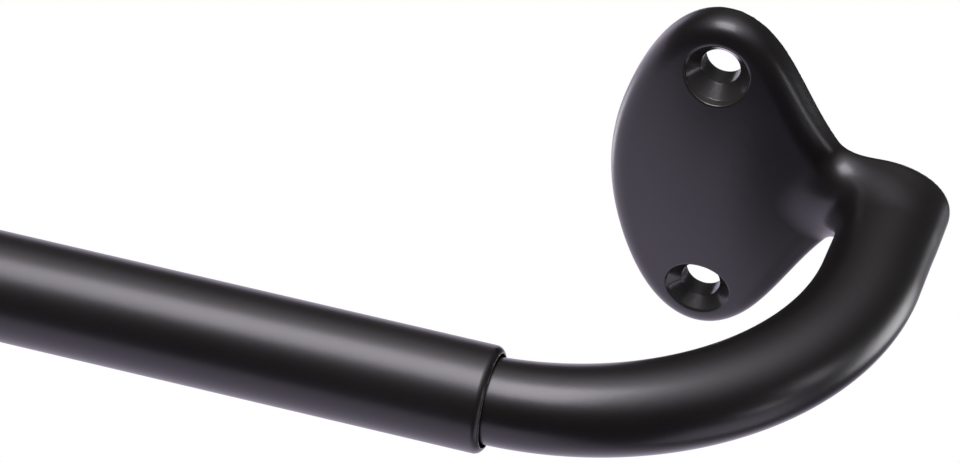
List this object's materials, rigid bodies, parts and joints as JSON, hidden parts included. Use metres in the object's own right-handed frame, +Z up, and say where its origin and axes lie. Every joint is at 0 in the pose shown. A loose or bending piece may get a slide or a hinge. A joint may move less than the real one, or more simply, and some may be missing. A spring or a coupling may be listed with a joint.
{
  "type": "curtain rod",
  "caption": "Telescoping wrap-around curtain rod: a straight tube with slide tubes whose cast elbows turn back to oval, countersunk wall plates.",
  "frame": {"origin": "on the wall plane, at mid-span, level with the rod's axis", "axes": "+X along the rod to the right, +Y into the wall, +Z up; the room is on the -Y side"},
  "size_m": [0.712, 0.075, 0.0572],
  "materials": {
    "tube_black": "satin black powder coat",
    "slide_black": "satin black powder coat",
    "casting_black": "satin black powder coat",
    "liner_plastic": "matt moulded",
    "glide_plastic": "moulded, natural colour",
    "pin_steel": "drawn spring steel"
  },
  "bodies": {
    "centre": {"centre_tube": "tube_black", "left_mouth_liner": "liner_plastic", "right_mouth_liner": "liner_plastic"},
    "right_glide": {"right_glide": "glide_plastic"},
    "right_end": {"right_slide_tube": "slide_black", "right_end_bracket": "casting_black", "right_spring_pin": "pin_steel"},
    "left_glide": {"left_glide": "glide_plastic"},
    "left_end": {"left_slide_tube": "slide_black", "left_end_bracket": "casting_black", "left_spring_pin": "pin_steel"}
  },
  "joints": [
    {"name": "right_extend", "type": "slide", "parent": "centre", "child": "right_glide", "axis": [1, 0, 0], "range_m": [0, 0.254]},
    {"name": "right_turn", "type": "hinge", "parent": "right_glide", "child": "right_end", "pos_m": [0.02, -0.067, 0], "axis": [1, 0, 0], "continuous": true},
    {"name": "left_extend", "type": "slide", "parent": "centre", "child": "left_glide", "axis": [-1, 0, 0], "range_m": [0, 0.254]},
    {"name": "left_turn", "type": "hinge", "parent": "left_glide", "child": "left_end", "pos_m": [-0.02, -0.067, 0], "axis": [1, 0, 0], "continuous": true}
  ]
}
